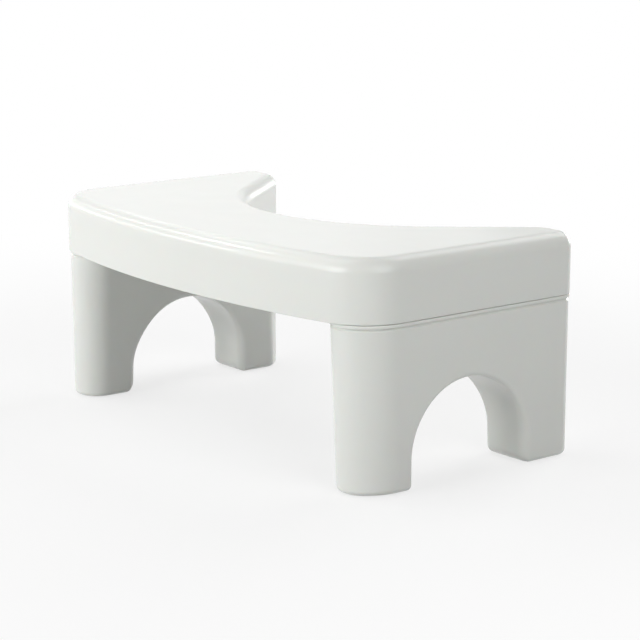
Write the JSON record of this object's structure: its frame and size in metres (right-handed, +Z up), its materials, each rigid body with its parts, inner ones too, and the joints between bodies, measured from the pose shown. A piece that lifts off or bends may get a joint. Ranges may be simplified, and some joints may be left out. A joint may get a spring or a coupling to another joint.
{
  "type": "toilet footstool",
  "caption": "Low crescent-topped plastic footstool on two plug-in arched legs, its hollowed back fitting round a toilet's base to raise the feet.",
  "frame": {"origin": "on the floor, under the middle of the stool's overall box", "axes": "+X along the stool towards the leg on the right, -Y towards the bowed front, +Y towards the hollowed back, +Z up"},
  "size_m": [0.4024, 0.227, 0.17],
  "materials": {
    "white_plastic": "glossy moulded polypropylene, plain white",
    "grey_rubber": "matt moulded rubber, mid grey"
  },
  "bodies": {
    "top": {"top_cover": "white_plastic"},
    "left_leg_set": {"left_leg": "white_plastic", "left_front_foot_pad": "grey_rubber", "left_rear_foot_pad": "grey_rubber"},
    "right_leg_set": {"right_leg": "white_plastic", "right_front_foot_pad": "grey_rubber", "right_rear_foot_pad": "grey_rubber"}
  },
  "joints": [
    {"name": "left_leg_pull", "type": "slide", "parent": "top", "child": "left_leg_set", "axis": [0, 0, -1], "range_m": [0, 0.06]},
    {"name": "right_leg_pull", "type": "slide", "parent": "top", "child": "right_leg_set", "axis": [0, 0, -1], "range_m": [0, 0.06]}
  ]
}
